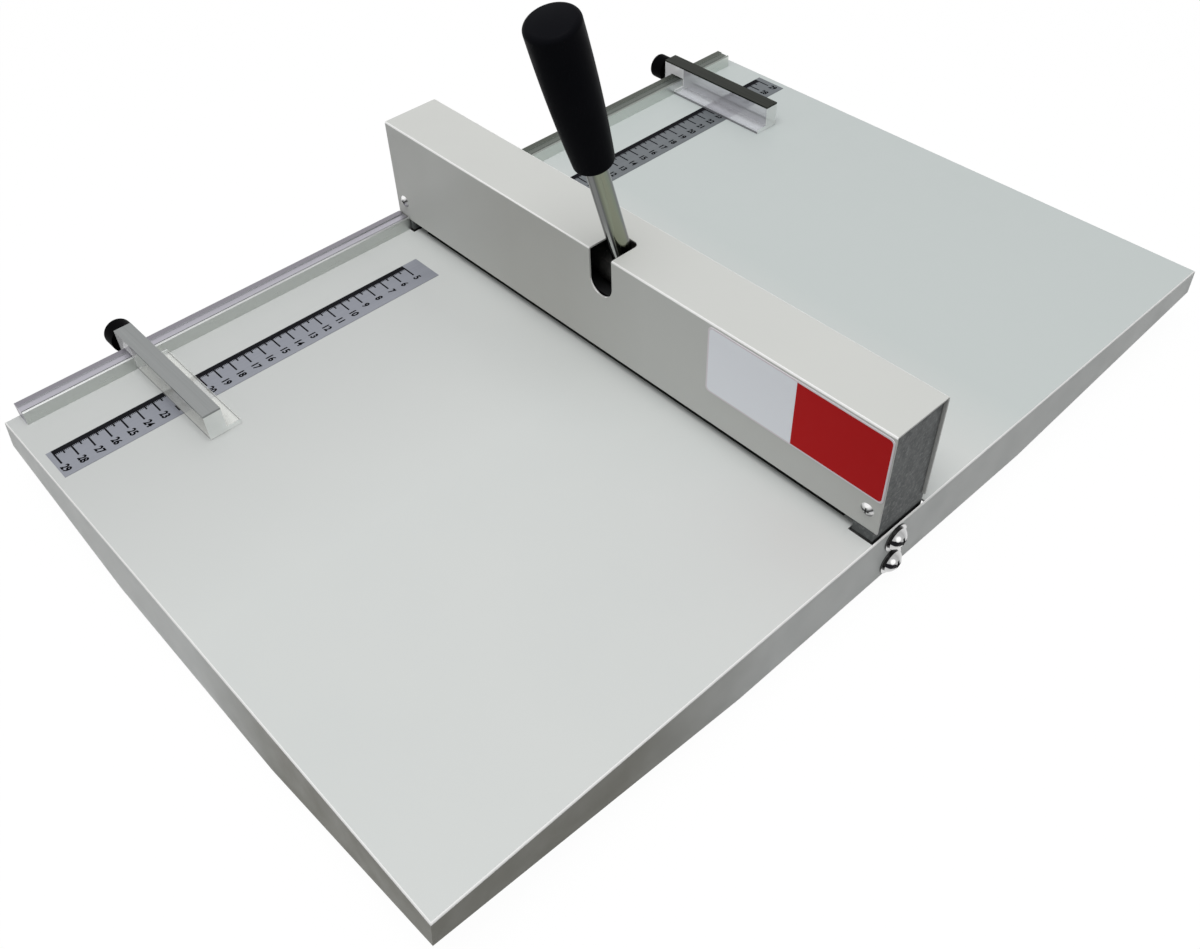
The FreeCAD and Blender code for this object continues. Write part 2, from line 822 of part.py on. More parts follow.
def make_springs():
    """Each return spring is one helix of round wire that stands on the lower beam round its pin."""
    height = upper_beam_underside - 2 * spring_wire_radius
    rise = height / spring_turns / (2 * math.pi)

    radius = spring_mean_radius

    def point(angle):
        return V(radius * math.cos(angle), radius * math.sin(angle), rise * angle)

    def way(angle):
        return V(-radius * math.sin(angle), radius * math.cos(angle), rise).normalize()

    quarters = [math.pi / 2 * i for i in range(4 * spring_turns + 1)]
    arcs = []
    for a, b in zip(quarters, quarters[1:]):
        arcs += biarc(point(a), way(a), point(b), way(b))
    path = Part.Wire(arcs)
    print("return spring, least gap:", round(least_gap([point(a) for a in quarters], 4), 2), "mm")
    start = Part.Circle(point(0), way(0), spring_wire_radius)
    coil = path.makePipeShell([Part.Wire([start.toShape()])], True, False)
    for name, sign in (("open_side_spring", 1), ("rail_side_spring", -1)):
        at = V(middle_x + sign * pin_offset_x, 0, table_z + spring_wire_radius)
        save(name, placed(coil, at, V(0, 0, 1)))


def rail_outline(y):
    """Section of the rail: an outer land, a shallow recess, a deep groove and an inner land."""
    x = left
    z = table_z
    recess_z = z + rail_height - rail_recess_depth
    groove_z = recess_z - rail_groove_depth
    groove_end = rail_groove_start + rail_groove_width
    top = z + rail_height
    return [
        V(x, y, z),
        V(x + rail_width, y, z),
        V(x + rail_width, y, top - rail_edge_radius),
        V(x + rail_width - rail_edge_radius, y, top),
        V(x + groove_end, y, top),
        V(x + groove_end, y, groove_z),
        V(x + rail_groove_start, y, groove_z),
        V(x + rail_groove_start, y, recess_z),
        V(x + rail_land_width, y, recess_z),
        V(x + rail_land_width, y, top),
        V(x + rail_edge_radius, y, top),
        V(x, y, top - rail_edge_radius),
    ]


def make_rails():
    start = block_base_half_width + rail_block_gap
    end = half_length - rail_end_inset
    rail = prism(rail_outline(start), V(0, end - start, 0))
    one = screw(rail_screw_radius, sheet + rail_screw_depth, rail_screw_head_radius, rail_screw_head_height)
    screws = []
    for x, y in rail_screw_places():
        rail = rail.cut(round_z(rail_screw_radius, x, y, table_z - overrun, table_z + rail_screw_depth))
        screws.append(placed(one, V(x, y, under_z), V(0, 0, -1)))
    save("rear_rail", rail)
    save("front_rail", front_to_rear(rail))
    save("rail_screws", *screws, *[front_to_rear(piece) for piece in screws])


def make_rulers():
    x0 = left + ruler_offset_x
    end = ruler_start + ruler_length
    ruler = box(x0, x0 + ruler_width, ruler_start, end, table_z, table_z + ruler_thickness)
    save("rear_ruler", ruler)
    save("front_ruler", front_to_rear(ruler))


def guide_section(x0, x1, y, low, high):
    """A stretch of the guide's upright wall between two heights above the table."""
    half = guide_wall_width / 2
    return box(x0, x1, y - half, y + half, table_z + low, table_z + high)


def guide_body(y):
    """Clear body of a side guide: an arm of L section, and a head that straddles the rail."""
    outer = left - guide_overhang
    end = left + guide_reach
    arm_start = left + rail_width + guide_clearance
    over_rail = rail_height + guide_clearance
    wall = guide_section(arm_start, end, y, guide_base_z, guide_body_top)
    head = guide_section(outer, end, y, over_rail, guide_body_top)
    cheek = guide_section(outer, left - guide_clearance, y, guide_cheek_bottom, guide_body_top)
    inner_side = y - guide_wall_width / 2
    base_z = table_z + guide_base_z
    toe_start = inner_side - guide_toe_width
    toe = box(arm_start, end, toe_start, y, base_z, base_z + guide_toe_thickness)
    body = wall.fuse([head, cheek, toe]).removeSplitter()
    bore_radius = thumb_screw_radius + running_clearance
    return body.cut(round_x(bore_radius, outer - overrun, left + overrun, y, table_z + thumb_screw_z))


def make_guide(name, y, seen):
    """One side guide, built for the rear table. The front one is its mirror image."""
    outer = left - guide_overhang
    end = left + guide_reach
    save(name + "_guide_body", seen(guide_body(y)))
    save(name + "_guide_strip", seen(guide_section(outer, end, y, guide_body_top, guide_height)))
    z = table_z + thumb_screw_z
    face = outer - knob_boss_gap - knob_boss_length
    knob = Part.makeCylinder(knob_radius, knob_thickness, V(0, 0, 0))
    knob = knob.makeFillet(knob_edge_radius, [knob.Edges[0]])
    knob = knob.fuse(Part.makeCylinder(knob_boss_radius, knob_boss_length, V(0, 0, -knob_boss_length)))
    knob = placed(knob.removeSplitter(), V(face, y, z), V(-1, 0, 0))
    thumb_screw = round_x(thumb_screw_radius, face - knob_screw_depth, left - thumb_tip_gap, y, z)
    save(name + "_guide_knob", seen(knob.cut(thumb_screw)))
    save(name + "_thumb_screw", seen(thumb_screw))


def as_built(shape):
    return shape


os.makedirs("parts", exist_ok=True)
make_tray()
make_foot_channels()
make_feet()
make_end_blocks()
make_bushes()
make_lower_beam()
make_crease_matrix()
make_side_bolts()
make_cover()
make_cover_screws()
make_label()
make_camshaft()
make_lever()
make_upper_beam()
make_blade()
make_blade_screws()
make_guide_pins()
make_springs()
make_rails()
make_rulers()
make_guide("front", front_guide_y, front_to_rear)
make_guide("rear", rear_guide_y, as_built)
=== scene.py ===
import math

import bmesh
import bpy
from mathutils import Matrix, Vector


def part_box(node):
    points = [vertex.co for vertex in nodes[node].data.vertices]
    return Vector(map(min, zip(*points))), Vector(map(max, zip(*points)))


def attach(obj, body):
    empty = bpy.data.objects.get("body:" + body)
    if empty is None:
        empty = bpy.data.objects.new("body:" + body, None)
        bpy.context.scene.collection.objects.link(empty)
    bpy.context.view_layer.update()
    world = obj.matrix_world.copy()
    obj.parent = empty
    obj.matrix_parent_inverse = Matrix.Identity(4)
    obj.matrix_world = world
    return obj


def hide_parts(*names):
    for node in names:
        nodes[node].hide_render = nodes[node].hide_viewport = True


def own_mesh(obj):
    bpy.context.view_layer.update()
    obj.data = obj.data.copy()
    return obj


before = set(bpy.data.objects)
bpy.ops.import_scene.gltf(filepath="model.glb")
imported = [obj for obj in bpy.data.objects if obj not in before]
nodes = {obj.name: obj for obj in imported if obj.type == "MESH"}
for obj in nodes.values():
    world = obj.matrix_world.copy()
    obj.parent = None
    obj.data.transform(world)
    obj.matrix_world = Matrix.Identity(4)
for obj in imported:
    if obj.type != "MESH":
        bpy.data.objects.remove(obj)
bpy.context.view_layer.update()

MM = 0.001
tray_low, tray_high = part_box("table_tray")
LEFT = tray_low.x
RIGHT = tray_high.x
FRONT = tray_low.y
TABLE = tray_high.z


def at(x, y, z):
    """A place from millimetres: x from the rail side of the table, y from the crease, z above the table."""
    return Vector((LEFT + x * MM, y * MM, TABLE + z * MM))


# Camera

WIDTH_PX = 1200
FOCAL_PX = 1177.10
camera_data = bpy.data.cameras.new("camera")
camera_data.sensor_fit = "HORIZONTAL"
camera_data.sensor_width = 36.0
camera_data.lens = FOCAL_PX * camera_data.sensor_width / WIDTH_PX
camera_data.clip_start = 0.02
camera_data.clip_end = 50.0
camera = bpy.data.objects.new("camera", camera_data)
bpy.context.scene.collection.objects.link(camera)
right = Vector((0.68128941, 0.73150879, -0.02719623))
up = Vector((-0.51725238, 0.50736623, 0.68922383))
back = right.cross(up)
turn = Matrix((right, up, back)).transposed().to_4x4()
camera_place = at(593.38, -372.25, 455.29)
camera.matrix_world = Matrix.Translation(camera_place) @ turn
bpy.context.scene.camera = camera


# Materials

FLAT = 0.9
UPRIGHT = 0.12


class Shader:
    """A Principled material whose textures are measured in the object's own metres."""

    def __init__(self, name, colour, rough, metal=0.0, **constants):
        self.material = bpy.data.materials.new(name)
        self.material.use_nodes = True
        self.tree = self.material.node_tree
        self.tree.nodes.clear()
        self.out = self.tree.nodes.new("ShaderNodeOutputMaterial")
        self.bsdf = self.tree.nodes.new("ShaderNodeBsdfPrincipled")
        self.tree.links.new(self.bsdf.outputs["BSDF"], self.out.inputs["Surface"])
        spot = self.tree.nodes.new("ShaderNodeTexCoord")
        self.place = spot.outputs["Object"]
        self.outward = spot.outputs["Normal"]
        self.colour = (*colour, 1.0)
        self.bsdf.inputs["Base Color"].default_value = self.colour
        self.bsdf.inputs["Roughness"].default_value = rough
        self.bsdf.inputs["Metallic"].default_value = metal
        for socket, value in constants.items():
            self.bsdf.inputs[socket.replace("_", " ")].default_value = value
        self.normal = None

    def node(self, kind, **settings):
        made = self.tree.nodes.new(kind)
        for name, value in settings.items():
            setattr(made, name, value)
        return made

    def link(self, a, b):
        self.tree.links.new(a, b)

    def stretched(self, scale, turn=(0.0, 0.0, 0.0)):
        mapping = self.node("ShaderNodeMapping")
        mapping.inputs["Scale"].default_value = scale
        mapping.inputs["Rotation"].default_value = turn
        self.link(self.place, mapping.inputs["Vector"])
        return mapping.outputs["Vector"]

    def noise(self, scale, detail=3.0, vector=None, rough=0.55):
        made = self.node("ShaderNodeTexNoise")
        made.inputs["Scale"].default_value = scale
        made.inputs["Detail"].default_value = detail
        made.inputs["Roughness"].default_value = rough
        self.link(vector or self.place, made.inputs["Vector"])
        return made.outputs["Fac"]

    def spread(self, value, low, high, from_low=0.3, from_high=0.7):
        made = self.node("ShaderNodeMapRange")
        made.inputs["From Min"].default_value = from_low
        made.inputs["From Max"].default_value = from_high
        made.inputs["To Min"].default_value = low
        made.inputs["To Max"].default_value = high
        self.link(value, made.inputs["Value"])
        return made.outputs["Result"]

    def math(self, operation, a, b=None):
        made = self.node("ShaderNodeMath", operation=operation)
        for socket, value in zip(made.inputs, (a, b)):
            if value is None:
                continue
            if isinstance(value, (int, float)):
                socket.default_value = value
            else:
                self.link(value, socket)
        return made.outputs["Value"]

    def along(self, axis, vector=None):
        """One coordinate of a vector, the object's own place unless another is given."""
        split = self.node("ShaderNodeSeparateXYZ")
        self.link(vector or self.place, split.inputs["Vector"])
        return split.outputs[axis]

    def between(self, value, low, high):
        above = self.math("GREATER_THAN", value, low)
        below = self.math("LESS_THAN", value, high)
        return self.math("MULTIPLY", above, below)

    def facing(self, direction):
        """How far a face points along a direction that is fixed to the object, from -1 to 1."""
        dot = self.node("ShaderNodeVectorMath", operation="DOT_PRODUCT")
        self.link(self.outward, dot.inputs[0])
        dot.inputs[1].default_value = direction
        return dot.outputs["Value"]

    def polish(self, direction, stops):
        """Paints reflections on a bright piece: colours it by where its faces point, from stops of (facing,
        grey or colour).
        """
        ramp = self.node("ShaderNodeValToRGB")
        self.link(self.spread(self.facing(direction), 0.0, 1.0, -1.0, 1.0), ramp.inputs["Fac"])
        elements = ramp.color_ramp.elements
        for facing, colour in stops:
            shade = colour if isinstance(colour, tuple) else (colour, colour, colour)
            ends = {-1.0: elements[0], 1.0: elements[-1]}
            element = ends[facing] if facing in ends else elements.new((facing + 1) / 2)
            element.color = (*shade, 1.0)
        self.link(ramp.outputs["Color"], self.bsdf.inputs["Base Color"])
        return self

    def tint(self, value, other):
        """Mixes the material's colour, or what already feeds it, with another one by a value."""
        made = self.node("ShaderNodeMix", data_type="RGBA")
        target = self.bsdf.inputs["Base Color"]
        if target.is_linked:
            self.link(target.links[0].from_socket, made.inputs["A"])
        else:
            made.inputs["A"].default_value = self.colour
        made.inputs["B"].default_value = (*other, 1.0)
        self.link(value, made.inputs["Factor"])
        self.link(made.outputs["Result"], target)
        return self

    def gloss(self, value, low, high):
        self.link(self.spread(value, low, high), self.bsdf.inputs["Roughness"])
        return self

    def bump(self, value, strength, distance):
        made = self.node("ShaderNodeBump")
        made.inputs["Strength"].default_value = strength
        made.inputs["Distance"].default_value = distance
        self.link(value, made.inputs["Height"])
        if self.normal:
            self.link(self.normal, made.inputs["Normal"])
        self.normal = made.outputs["Normal"]
        self.link(self.normal, self.bsdf.inputs["Normal"])
        return self


def powder_coat(name, colour, worn):
    """Sheet steel with a fine, nearly smooth powder coat, and a painted highlight, near white, where the
    sheet is folded.
    """
    s = Shader(name, colour, 0.42, Specular_IOR_Level=0.25)
    s.tint(s.spread(s.noise(9.0, 2.0), 0.0, 0.55), worn)
    # Painted highlight: faces between flat and upright, the folds, are tinted near white.
    painted_fold_highlight = s.between(s.math("ABSOLUTE", s.along("Z", s.outward)), 0.16, 0.96)
    s.tint(painted_fold_highlight, (0.90, 0.90, 0.89))
    s.gloss(s.noise(60.0, 3.0), 0.36, 0.50)
    s.bump(s.noise(900.0, 2.0), 0.10, 0.0002)
    s.bump(s.noise(160.0, 1.0), 0.05, 0.0004)
    return s


def streaked(name, colour, other, rough, along, metal=1.0, fine=1400.0, strength=0.12, **constants):
    """Metal with drawn, ground or extruded lines along one axis."""
    s = Shader(name, colour, rough, metal, **constants)
    scale = [1.0, 1.0, 1.0]
    scale["xyz".index(along)] = 0.02
    lines = s.noise(fine, 2.0, s.stretched(scale))
    broad = s.noise(fine * 0.12, 3.0, s.stretched(scale))
    s.tint(s.spread(broad, 0.0, 0.8), other)
    s.gloss(lines, rough * 0.8, min(1.0, rough * 1.25))
    s.bump(lines, strength, 0.0001)
    return s


def grained(name, colour, other, rough, scale, strength, depth=0.0002, metal=0.0, **constants):
    """Moulded, cast or sintered surface with a fine grain."""
    s = Shader(name, colour, rough, metal, **constants)
    s.tint(s.spread(s.noise(scale * 0.1, 3.0), 0.0, 0.7), other)
    s.gloss(s.noise(scale * 0.4, 2.0), rough * 0.85, min(1.0, rough * 1.15))
    s.bump(s.noise(scale, 2.0), strength, depth)
    return s


def polished(name, rough, direction, stops):
    """Bright metal, with the light and dark bands that a studio leaves in it painted on as reflections."""
    s = Shader(name, (0.6, 0.6, 0.6), rough, 1.0)
    s.polish(direction, stops)
    s.gloss(s.noise(300.0, 2.0), rough * 0.8, rough * 1.3)
    s.bump(s.noise(220.0, 2.0), 0.04, 0.0001)
    return s



def dim_near_corner(s):
    """Paints shade on the upright faces close to the corner nearest the operator on the label's side: a
    painted shadow that darkens them.
    """
    upright = s.math("LESS_THAN", s.math("ABSOLUTE", s.along("Z", s.outward)), UPRIGHT)
    near_x = s.spread(s.math("SUBTRACT", RIGHT, s.along("X")), 1.0, 0.0, 110 * MM, 190 * MM)
    near_y = s.spread(s.math("SUBTRACT", s.along("Y"), FRONT), 1.0, 0.0, 110 * MM, 210 * MM)
    # Painted shade: a dark warm tint, fading out away from the corner.
    s.tint(s.math("MULTIPLY", upright, s.math("MULTIPLY", near_x, near_y)), (0.195, 0.192, 0.160))
    return s


def table_coat():
    """The table's coat, with painted shade: a little darker at its rear and rail side, and painted shade on
    the skirts at the near corner.
    """
    s = powder_coat("white_powder_coat", (0.630, 0.648, 0.635), (0.600, 0.625, 0.617))
    x, y = s.along("X"), s.along("Y")
    flat = s.math("GREATER_THAN", s.along("Z", s.outward), FLAT)
    # Painted shade: the flat top darker towards the rear.
    rear = s.spread(y, 0.0, 1.0, 0.065, 0.115)
    s.tint(s.math("MULTIPLY", flat, rear), (0.548, 0.590, 0.582))
    # Painted shade: the flat top darker at the front of its rail side.
    rail_side = s.spread(x, 1.0, 0.0, LEFT + 70 * MM, LEFT + 210 * MM)
    front = s.spread(y, 1.0, 0.0, -0.060, 0.0)
    s.tint(s.math("MULTIPLY", s.math("MULTIPLY", flat, front), rail_side), (0.545, 0.560, 0.552))
    dim_near_corner(s)
    return s


def cover_coat():
    """The cover's coat, a slightly darker, shaded copy of the table's coat, with painted shade a little
    darker in the middle of its front face.
    """
    s = powder_coat("cover_powder_coat", (0.600, 0.608, 0.585), (0.575, 0.585, 0.565))
    from_middle = s.math("ABSOLUTE", s.math("SUBTRACT", s.along("X"), LEFT + 145 * MM))
    # Painted shade on the front face, strongest in the middle.
    dim = s.spread(from_middle, 1.0, 0.0, 25 * MM, 90 * MM)
    front_face = s.math("LESS_THAN", s.along("Y", s.outward), -FLAT)
    s.tint(s.math("MULTIPLY", dim, front_face), (0.530, 0.532, 0.505))
    return s


white = table_coat()
cover_white = cover_coat()
# The foot channels get the painted fold highlight and the painted shade at the near corner.
channel_white = dim_near_corner(powder_coat("channel_powder_coat", (0.62, 0.63, 0.615), (0.59, 0.60, 0.59)))


def rough_ground():
    """Dark ground steel with lighter scuffs, and a painted contact shadow, nearly black, where it meets the
    table.
    """
    s = grained("rough_ground_steel", (0.100, 0.106, 0.106), (0.062, 0.067, 0.067), 0.62, 700.0, 0.55, 0.0004,
                metal=0.35)
    s.tint(s.spread(s.noise(420.0, 4.0, None, 0.7), 0.0, 0.75, 0.52, 0.68), (0.20, 0.21, 0.21))
    # Painted shadow: nearly black in the thin layer next to the table.
    s.tint(s.math("LESS_THAN", s.along("Z"), TABLE + 0.6 * MM), (0.004, 0.004, 0.004))
    return s


end_steel = rough_ground()
beam_steel = streaked("blackened_beam_steel", (0.030, 0.031, 0.032), (0.018, 0.018, 0.019), 0.55, "x", 0.4)
shaft_steel = streaked("turned_shaft_steel", (0.075, 0.075, 0.072), (0.045, 0.045, 0.043), 0.38, "y", 0.8)
bright_steel = streaked("ground_bright_steel", (0.48, 0.48, 0.47), (0.36, 0.36, 0.35), 0.28, "x")
bronze = grained("sintered_bronze", (0.42, 0.25, 0.11), (0.30, 0.17, 0.07), 0.40, 1500.0, 0.35, 0.0001, 1.0)
rubber = grained("black_rubber", (0.020, 0.020, 0.020), (0.030, 0.030, 0.030), 0.75, 900.0, 0.35)
zinc = grained("bright_zinc", (0.56, 0.56, 0.54), (0.46, 0.47, 0.46), 0.22, 800.0, 0.08, 0.0001, 1.0)
# Painted reflections on the cover screws: light and dark bands by where the faces point.
screw_zinc = polished("cover_screw_zinc", 0.16, (-0.25, -0.55, 0.80), [
    (-1.0, 0.10), (0.02, 0.16), (0.30, 0.62), (0.46, 0.50), (0.53, 0.05), (0.62, 0.10), (0.74, 0.60),
    (0.86, 0.95), (1.0, 0.80)])


def domed_chrome():
    """A bright domed head with painted reflections: a painted white highlight at the lamp's side and a dark
    curved band painted across the other.
    """
    lamp_side = (0.774, -0.391, 0.499)
    s = polished("bolt_chrome", 0.12, lamp_side, [
        (-1.0, 0.30), (0.20, 0.42), (0.60, 0.62), (0.80, 0.55), (0.90, 0.40), (0.980, 0.45), (0.990, 1.0),
        (1.0, 1.0)])
    # Painted reflection: a near-black band across the dome, away from the lamp.
    ring = s.between(s.facing(lamp_side), 0.84, 0.975)
    painted_dark_reflection = s.math("MULTIPLY", ring, s.math("GREATER_THAN", s.facing((0.55, -0.60, -0.58)), 0.52))
    s.tint(painted_dark_reflection, (0.012, 0.012, 0.014))
    return s


bolt_chrome = domed_chrome()
# Painted reflection and shade on the washers: the face lit, the rim dark; the lock washers nearly black, a
# painted shadow under the bolt heads.
washer_chrome = polished("washer_chrome", 0.16, (1.0, 0.0, 0.0), [
    (-1.0, 0.20), (0.3, 0.12), (0.6, 0.35), (0.95, 0.60), (1.0, 0.62)])
lock_chrome = polished("lock_washer_steel", 0.30, (1.0, 0.0, 0.0), [(-1.0, 0.03), (0.3, 0.02), (1.0, 0.20)])


def banded_rod():
    """The bright rod with painted reflections: a narrow light strip, and beside it a dark streak that fades
    out up the rod.
    """
    across = (0.529, 0.817, 0.228)
    s = polished("rod_chrome", 0.14, across, [
        (-1.0, 0.10), (-0.88, 0.12), (-0.78, 0.27), (-0.58, 0.27), (-0.46, 0.16),
        (-0.30, (0.22, 0.235, 0.185)), (-0.10, (0.315, 0.335, 0.258)), (0.70, (0.31, 0.33, 0.26)),
        (0.86, 0.22), (0.94, 0.18), (1.0, 0.17)])
    # Painted reflections: near the slot the light strip is lighter and the dark streak near black, fading out
    # up the rod.
    low = s.spread(s.along("Z"), 1.0, 0.0, TABLE + 78 * MM, TABLE + 96 * MM)
    s.tint(s.math("MULTIPLY", low, s.between(s.facing(across), -0.80, -0.56)), (0.50, 0.51, 0.49))
    s.tint(s.math("MULTIPLY", low, s.between(s.facing(across), -0.52, -0.34)), (0.02, 0.02, 0.02))
    return s


rod_chrome = banded_rod()
grip_plastic = grained("grip_moulded_black", (0.0040, 0.0042, 0.0056), (0.0060, 0.0062, 0.0078), 0.40,
                       260.0, 0.02, Specular_IOR_Level=0.012)
knob_plastic = grained("knob_moulded_black", (0.0018, 0.0018, 0.0021), (0.003, 0.003, 0.0035), 0.45,
                       900.0, 0.08, Specular_IOR_Level=0.01)


def extruded(name, land, recess, inner_land, side):
    """Rail of drawn aluminium. Its lands, its recess and its side face catch the light unequally, which is
    painted: each gets its own grey of painted light or shade.
    """
    s = streaked(name, recess, tuple(0.86 * v for v in recess), 0.34, "y", 1.0, 2200.0, 0.10)
    x = s.math("SUBTRACT", s.along("X"), LEFT)
    # Painted light and shade: outer land darker, inner land a painted highlight, side face its own grey.
    s.tint(s.math("LESS_THAN", x, 4.6 * MM), land)
    s.tint(s.math("GREATER_THAN", x, 10.8 * MM), inner_land)
    s.tint(s.math("GREATER_THAN", s.along("X", s.outward), FLAT), side)
    return s


rail_front = extruded("front_rail_aluminium", (0.26, 0.25, 0.28), (0.47, 0.46, 0.51), (0.56, 0.57, 0.57),
                      (0.60, 0.62, 0.60))
# The rear rail is a darker, shaded copy of the front rail's colours: painted shade.
rail_rear_shaded = extruded("rear_rail_aluminium", (0.085, 0.095, 0.080), (0.14, 0.155, 0.14), (0.30, 0.32, 0.30),
                     (0.66, 0.69, 0.66))
strip_front = streaked("front_strip_aluminium", (0.30, 0.31, 0.31), (0.26, 0.27, 0.27), 0.38, "x",
                       fine=2600.0, strength=0.10)
# The rear strip is a near-black, shaded copy of the front strip's aluminium: painted shade.
strip_rear_shaded = streaked("rear_strip_aluminium", (0.022, 0.025, 0.019), (0.014, 0.016, 0.012), 0.40, "x",
                      fine=2600.0, strength=0.10)
thumb_steel = streaked("thumb_screw_steel", (0.10, 0.10, 0.10), (0.07, 0.07, 0.07), 0.35, "x")
plate_front = streaked("front_ruler_plate", (0.268, 0.280, 0.318), (0.245, 0.256, 0.292), 0.50, "y",
                       metal=0.25, fine=1600.0, strength=0.06)
# The rear ruler plate is a darker, shaded copy of the front one's colour: painted shade.
plate_rear_shaded = streaked("rear_ruler_plate", (0.150, 0.165, 0.178), (0.130, 0.144, 0.156), 0.50, "y",
                      metal=0.25, fine=1600.0, strength=0.06)
ink = grained("printed_black", (0.008, 0.008, 0.010), (0.013, 0.013, 0.016), 0.65, 1500.0, 0.05, 0.00005,
              Specular_IOR_Level=0.02)


def clear_acrylic(name, milk, upright_veil, head_veil, glow):
    """Clear acrylic with a faint milky look and a faint painted glow. Over the rail it is whiter, a painted
    highlight, and along its foot run thin lines: painted shade on the operator's side and a painted highlight
    on the far side.
    """
    # Emission_Strength=glow: a painted glow, though the acrylic is no lamp.
    s = Shader(name, milk, 0.06, Emission_Strength=glow)
    up = s.math("ABSOLUTE", s.along("Z", s.outward))
    upright = s.math("LESS_THAN", up, 0.5)
    foot = s.math("MULTIPLY", s.math("LESS_THAN", s.along("Z"), TABLE + 2.2 * MM), upright)
    # Painted shade: a thin dark line on the foot's operator-side face; painted highlight on the far face.
    painted_foot_shade = s.math("MULTIPLY", foot, s.math("LESS_THAN", s.along("Y", s.outward), -0.5))
    painted_foot_highlight = s.math("MULTIPLY", foot, s.math("GREATER_THAN", s.along("Y", s.outward), 0.5))
    # Over the rail the acrylic is whiter and less clear: a painted highlight.
    head = s.math("LESS_THAN", s.along("X"), LEFT + 13 * MM)
    s.tint(s.spread(s.noise(35.0, 2.0), 0.0, 0.5), tuple(0.93 * v for v in milk))
    s.tint(head, (0.93, 0.93, 0.95))
    end_face = s.math("GREATER_THAN", s.along("X", s.outward), FLAT)
    s.tint(end_face, (0.84, 0.88, 0.86))
    s.tint(painted_foot_shade, (0.03, 0.03, 0.035))
    s.tint(painted_foot_highlight, (0.90, 0.92, 0.90))
    face = s.node("ShaderNodeLayerWeight")
    face.inputs["Blend"].default_value = 0.25
    veil = s.spread(face.outputs["Fresnel"], 0.10, 0.50, 0.0, 1.0)
    veil = s.math("MAXIMUM", veil, s.math("MULTIPLY", upright, upright_veil))
    veil = s.math("MAXIMUM", veil, s.math("MULTIPLY", head, head_veil))
    veil = s.math("MAXIMUM", veil, s.math("MULTIPLY", end_face, 0.80))
    veil = s.math("MAXIMUM", veil, s.math("MULTIPLY", painted_foot_shade, 0.80))
    veil = s.math("MAXIMUM", veil, s.math("MULTIPLY", painted_foot_highlight, 0.45))
    s.link(veil, s.bsdf.inputs["Alpha"])
    s.gloss(s.noise(300.0, 2.0), 0.04, 0.10)
    s.bump(s.noise(70.0, 1.0), 0.02, 0.0002)
    return s


acrylic_front = clear_acrylic("front_clear_acrylic", (0.93, 0.94, 0.90), 0.24, 0.55, 0.06)
# The rear guide's acrylic is a greyer, shaded copy of the front one's, with a weaker painted glow: painted
# shade.
acrylic_rear_shaded = clear_acrylic("rear_clear_acrylic", (0.72, 0.72, 0.78), 0.38, 0.75, 0.03)


def label_film():
    """A two-tone printed film: pale to the left, red to the right, with a light rim all round."""
    low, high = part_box("label_plate")
    pale, red, rim_tone = (0.92, 0.945, 1.0), (0.520, 0.0070, 0.0090), (0.78, 0.74, 0.78)
    s = Shader("two_tone_label", pale, 0.42, Specular_IOR_Level=0.06)
    x, z = s.along("X"), s.along("Z")
    change = low.x + (high.x - low.x) * 0.502
    rim = 1.0 * MM
    corner = 2.4 * MM
    s.tint(s.math("GREATER_THAN", x, change), red)
    beyond = []
    for place, start, end in ((x, low.x, high.x), (z, low.z, high.z)):
        off_middle = s.math("ABSOLUTE", s.math("SUBTRACT", place, (start + end) / 2))
        straight = (end - start) / 2 - rim - corner
        past = s.math("MAXIMUM", s.math("SUBTRACT", off_middle, straight), 0.0)
        beyond.append(s.math("MULTIPLY", past, past))
    out = s.math("SQRT", s.math("ADD", *beyond))
    s.tint(s.math("GREATER_THAN", out, corner), rim_tone)
    s.gloss(s.noise(200.0, 2.0), 0.38, 0.46)
    s.bump(s.noise(120.0, 2.0), 0.02, 0.0002)
    return s


label = label_film()

finishes = {
    "table_tray": white, "cover": cover_white, "front_foot_channel": channel_white,
    "rear_foot_channel": channel_white, "open_side_end_block": end_steel, "rail_side_end_block": end_steel,
    "lower_beam": beam_steel, "upper_beam": beam_steel, "blade_screws": beam_steel, "camshaft": shaft_steel,
    "rod_lock_pin": bright_steel, "crease_matrix": bright_steel, "creasing_blade": bright_steel,
    "guide_pins": bright_steel, "open_side_bush": bronze, "rail_side_bush": bronze, "rubber_feet": rubber,
    "foot_washers": zinc, "foot_screws": zinc, "foot_nuts": zinc, "rail_screws": zinc,
    "cover_screws": screw_zinc, "side_bolts": bolt_chrome, "side_washers": washer_chrome,
    "side_lock_washers": lock_chrome, "lever_rod": rod_chrome, "lever_grip": grip_plastic,
    "label_plate": label, "front_rail": rail_front, "rear_rail": rail_rear_shaded,
    "front_guide_strip": strip_front, "rear_guide_strip": strip_rear_shaded, "front_guide_body": acrylic_front,
    "rear_guide_body": acrylic_rear_shaded, "front_guide_knob": knob_plastic, "rear_guide_knob": knob_plastic,
    "front_thumb_screw": thumb_steel, "rear_thumb_screw": thumb_steel, "front_ruler": plate_front,
    "rear_ruler": plate_rear_shaded,
}
for name, shader in finishes.items():
    for material_slot in nodes[name].material_slots:
        material_slot.material = shader.material


# Pieces of the scene's own

def add_mesh(name, bm, shader, body):
    mesh = bpy.data.meshes.new(name)
    bm.to_mesh(mesh)
    bm.free()
    mesh.materials.append(shader.material)
    piece = bpy.data.objects.new(name, mesh)
    bpy.context.scene.collection.objects.link(piece)
    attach(piece, body)
    return piece


def add_bar(bm, x0, x1, y0, y1, z0, z1):
    corners = [bm.verts.new(at(x, y, z)) for z in (z0, z1) for y in (y0, y1) for x in (x0, x1)]
    for face in ((0, 2, 3, 1), (4, 5, 7, 6), (0, 1, 5, 4), (2, 6, 7, 3), (0, 4, 6, 2), (1, 3, 7, 5)):
        bm.faces.new([corners[i] for i in face])


